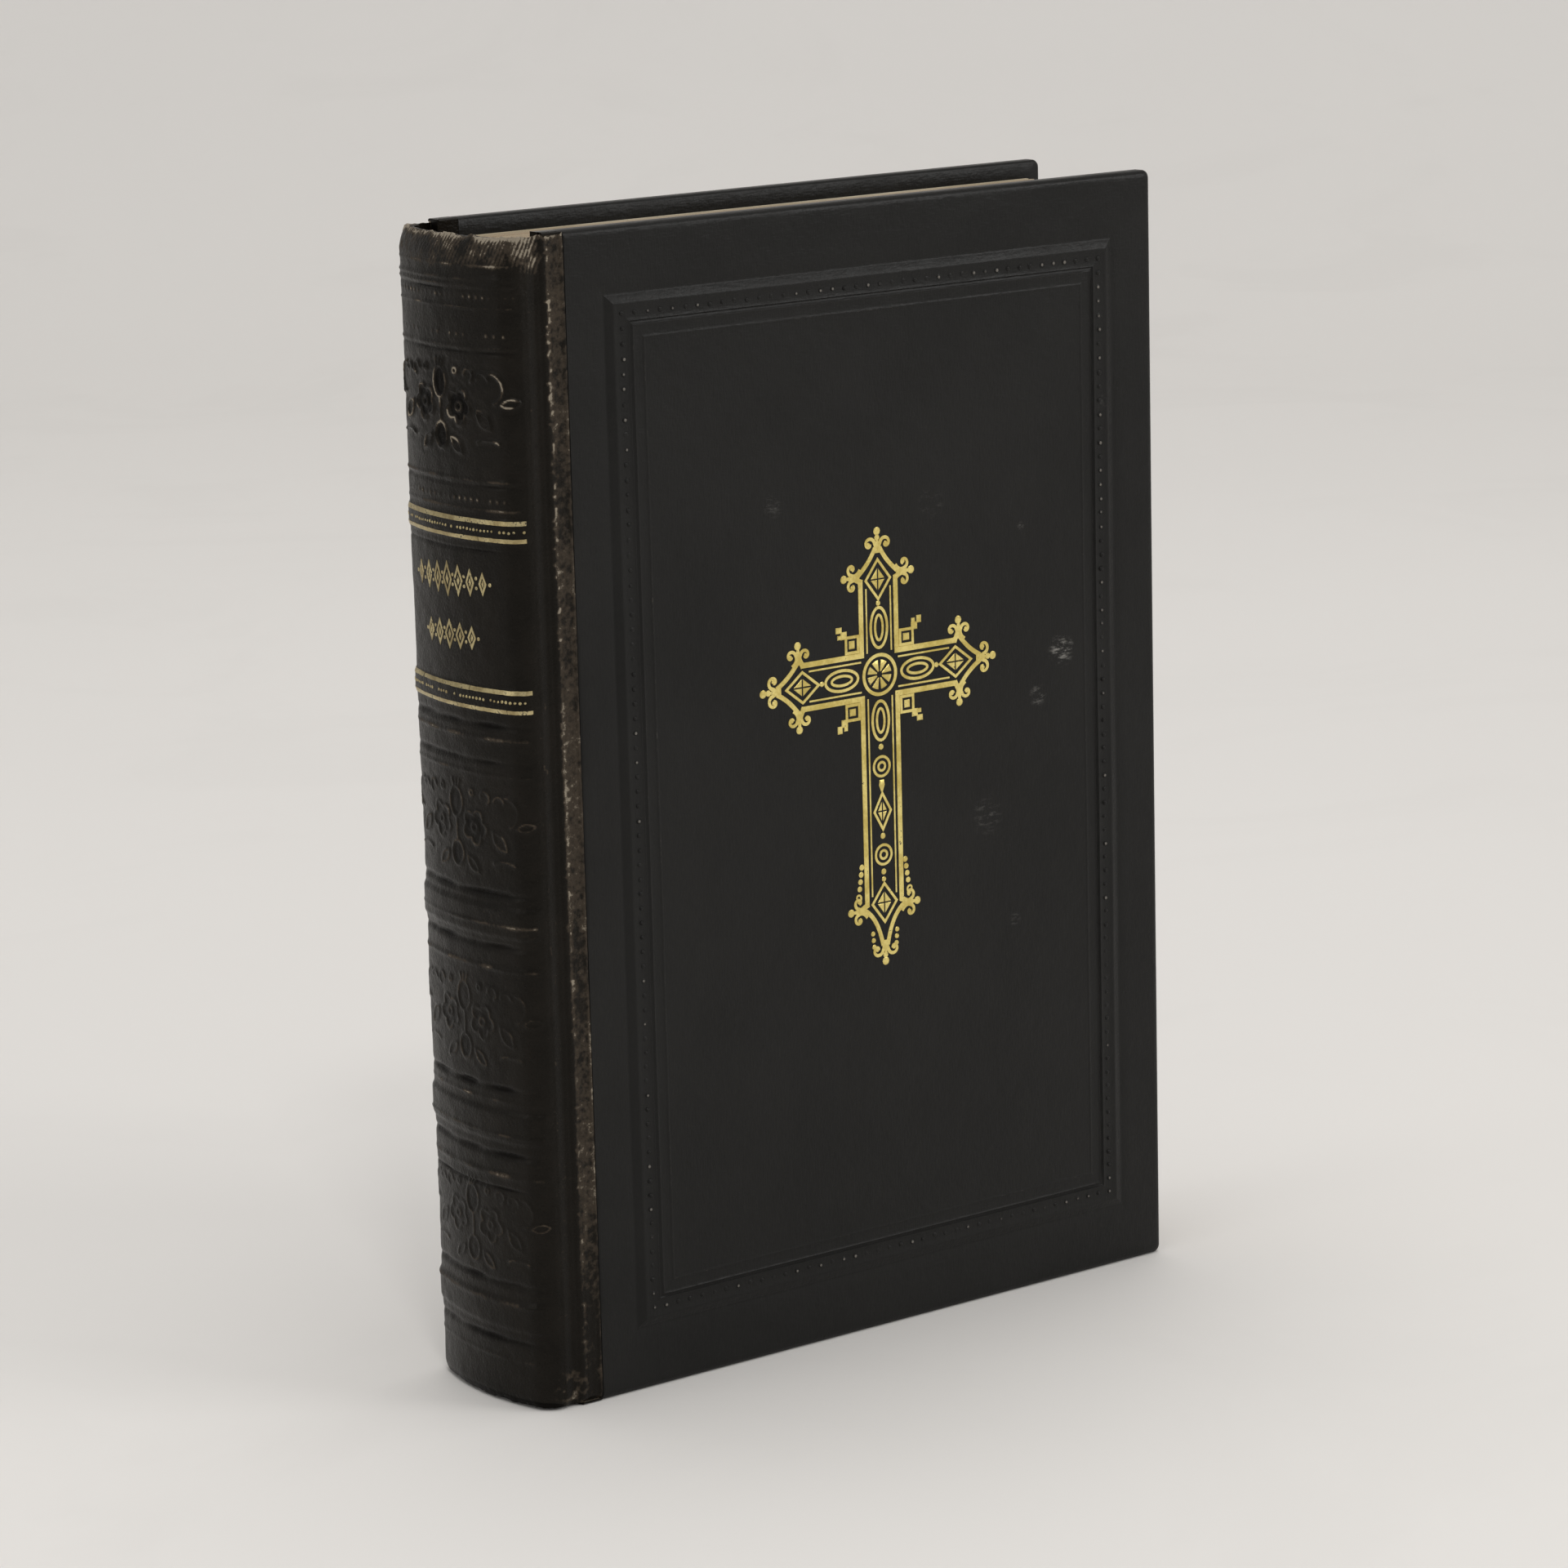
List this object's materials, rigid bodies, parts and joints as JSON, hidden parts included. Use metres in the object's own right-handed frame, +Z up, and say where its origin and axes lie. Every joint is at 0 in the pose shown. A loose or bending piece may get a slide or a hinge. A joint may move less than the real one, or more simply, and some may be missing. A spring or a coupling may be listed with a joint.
{
  "type": "prayer book",
  "caption": "Small upright prayer book with a rounded leather spine, hinged cloth-covered boards, a gilt cross on the front and sewn leaves that fan open.",
  "frame": {"origin": "bottom centre of the closed book's bounding box, on the surface it stands on", "axes": "+Z up along the spine, head up; +X from the spine to the fore-edge; the front cover faces -Y"},
  "size_m": [0.1054, 0.026, 0.15],
  "materials": {
    "cover_cloth": "fine-grained black book cloth, matt",
    "spine_leather": "thin black skiver, semi-gloss, rubbed brown at the edges",
    "gilding": "aged gold leaf, satin",
    "greyboard": "plain grey-board",
    "inlay_card": "plain card",
    "leaves": "aged uncoated paper",
    "endpaper": "aged uncoated paper",
    "linen": "unbleached linen with paste",
    "headband": "woven cotton bead"
  },
  "bodies": {
    "spine": {"spine_leather": "spine_leather", "spine_bands": "inlay_card", "spine_inlay": "inlay_card", "spine_gilding": "gilding", "spine_lining": "linen", "sewing_tapes": "linen", "sewn_folds": "leaves", "endpaper_folds": "endpaper", "headband_head": "headband", "headband_tail": "headband"},
    "front_cover": {"front_board": "greyboard", "front_cover_cloth": "cover_cloth", "front_leather_lap": "spine_leather", "front_pastedown": "endpaper", "gilt_cross": "gilding"},
    "back_cover": {"back_board": "greyboard", "back_cover_cloth": "cover_cloth", "back_leather_lap": "spine_leather", "back_pastedown": "endpaper"},
    "front_fly": {"front_flyleaf": "endpaper"},
    "back_fly": {"back_flyleaf": "endpaper"},
    "leaves_01": {"gathering_01": "leaves"},
    "leaves_02": {"gathering_02": "leaves"},
    "leaves_03": {"gathering_03": "leaves"},
    "leaves_04": {"gathering_04": "leaves"},
    "leaves_05": {"gathering_05": "leaves"},
    "leaves_06": {"gathering_06": "leaves"},
    "leaves_07": {"gathering_07": "leaves"},
    "leaves_08": {"gathering_08": "leaves"},
    "leaves_09": {"gathering_09": "leaves"},
    "leaves_10": {"gathering_10": "leaves"},
    "leaves_11": {"gathering_11": "leaves"},
    "leaves_12": {"gathering_12": "leaves"}
  },
  "joints": [
    {"name": "front_cover_hinge", "type": "hinge", "parent": "spine", "child": "front_cover", "pos_m": [-0.04481, -0.0128, 0.075], "axis": [0, 0, -1], "range_deg": [0, 170]},
    {"name": "back_cover_hinge", "type": "hinge", "parent": "spine", "child": "back_cover", "pos_m": [-0.04481, 0.0128, 0.075], "axis": [0, 0, 1], "range_deg": [0, 170]},
    {"name": "front_flyleaf_turn", "type": "hinge", "parent": "spine", "child": "front_fly", "pos_m": [-0.04256, -0.00988, 0.075], "axis": [0, 0, -1], "range_deg": [0, 100]},
    {"name": "back_flyleaf_turn", "type": "hinge", "parent": "spine", "child": "back_fly", "pos_m": [-0.04256, 0.00988, 0.075], "axis": [0, 0, 1], "range_deg": [0, 100]},
    {"name": "gathering_01_turn", "type": "hinge", "parent": "spine", "child": "leaves_01", "pos_m": [-0.04181, -0.00885, 0.075], "axis": [0, 0, -1], "range_deg": [0, 80]},
    {"name": "gathering_02_turn", "type": "hinge", "parent": "spine", "child": "leaves_02", "pos_m": [-0.0408, -0.00724, 0.075], "axis": [0, 0, -1], "range_deg": [0, 66.7]},
    {"name": "gathering_03_turn", "type": "hinge", "parent": "spine", "child": "leaves_03", "pos_m": [-0.04006, -0.00563, 0.075], "axis": [0, 0, -1], "range_deg": [0, 53.4]},
    {"name": "gathering_04_turn", "type": "hinge", "parent": "spine", "child": "leaves_04", "pos_m": [-0.03955, -0.00402, 0.075], "axis": [0, 0, -1], "range_deg": [0, 40]},
    {"name": "gathering_05_turn", "type": "hinge", "parent": "spine", "child": "leaves_05", "pos_m": [-0.03928, -0.00241, 0.075], "axis": [0, 0, -1], "range_deg": [0, 26.7]},
    {"name": "gathering_06_turn", "type": "hinge", "parent": "spine", "child": "leaves_06", "pos_m": [-0.03918, -0.0008, 0.075], "axis": [0, 0, -1], "range_deg": [0, 13.4]},
    {"name": "gathering_07_turn", "type": "hinge", "parent": "spine", "child": "leaves_07", "pos_m": [-0.03918, 0.0008, 0.075], "axis": [0, 0, 1], "range_deg": [0, 13.4]},
    {"name": "gathering_08_turn", "type": "hinge", "parent": "spine", "child": "leaves_08", "pos_m": [-0.03928, 0.00241, 0.075], "axis": [0, 0, 1], "range_deg": [0, 26.7]},
    {"name": "gathering_09_turn", "type": "hinge", "parent": "spine", "child": "leaves_09", "pos_m": [-0.03955, 0.00402, 0.075], "axis": [0, 0, 1], "range_deg": [0, 40]},
    {"name": "gathering_10_turn", "type": "hinge", "parent": "spine", "child": "leaves_10", "pos_m": [-0.04006, 0.00563, 0.075], "axis": [0, 0, 1], "range_deg": [0, 53.4]},
    {"name": "gathering_11_turn", "type": "hinge", "parent": "spine", "child": "leaves_11", "pos_m": [-0.0408, 0.00724, 0.075], "axis": [0, 0, 1], "range_deg": [0, 66.7]},
    {"name": "gathering_12_turn", "type": "hinge", "parent": "spine", "child": "leaves_12", "pos_m": [-0.04181, 0.00885, 0.075], "axis": [0, 0, 1], "range_deg": [0, 80]}
  ],
  "couplings": [
    {"joint": "front_flyleaf_turn", "follows": "front_cover_hinge", "ratio": 0.58823},
    {"joint": "back_flyleaf_turn", "follows": "back_cover_hinge", "ratio": 0.58823},
    {"joint": "gathering_01_turn", "follows": "front_cover_hinge", "ratio": 0.47059},
    {"joint": "gathering_02_turn", "follows": "front_cover_hinge", "ratio": 0.39216},
    {"joint": "gathering_03_turn", "follows": "front_cover_hinge", "ratio": 0.31372},
    {"joint": "gathering_04_turn", "follows": "front_cover_hinge", "ratio": 0.23529},
    {"joint": "gathering_05_turn", "follows": "front_cover_hinge", "ratio": 0.15686},
    {"joint": "gathering_06_turn", "follows": "front_cover_hinge", "ratio": 0.078431},
    {"joint": "gathering_07_turn", "follows": "back_cover_hinge", "ratio": 0.078431},
    {"joint": "gathering_08_turn", "follows": "back_cover_hinge", "ratio": 0.15686},
    {"joint": "gathering_09_turn", "follows": "back_cover_hinge", "ratio": 0.23529},
    {"joint": "gathering_10_turn", "follows": "back_cover_hinge", "ratio": 0.31372},
    {"joint": "gathering_11_turn", "follows": "back_cover_hinge", "ratio": 0.39216},
    {"joint": "gathering_12_turn", "follows": "back_cover_hinge", "ratio": 0.47059}
  ]
}
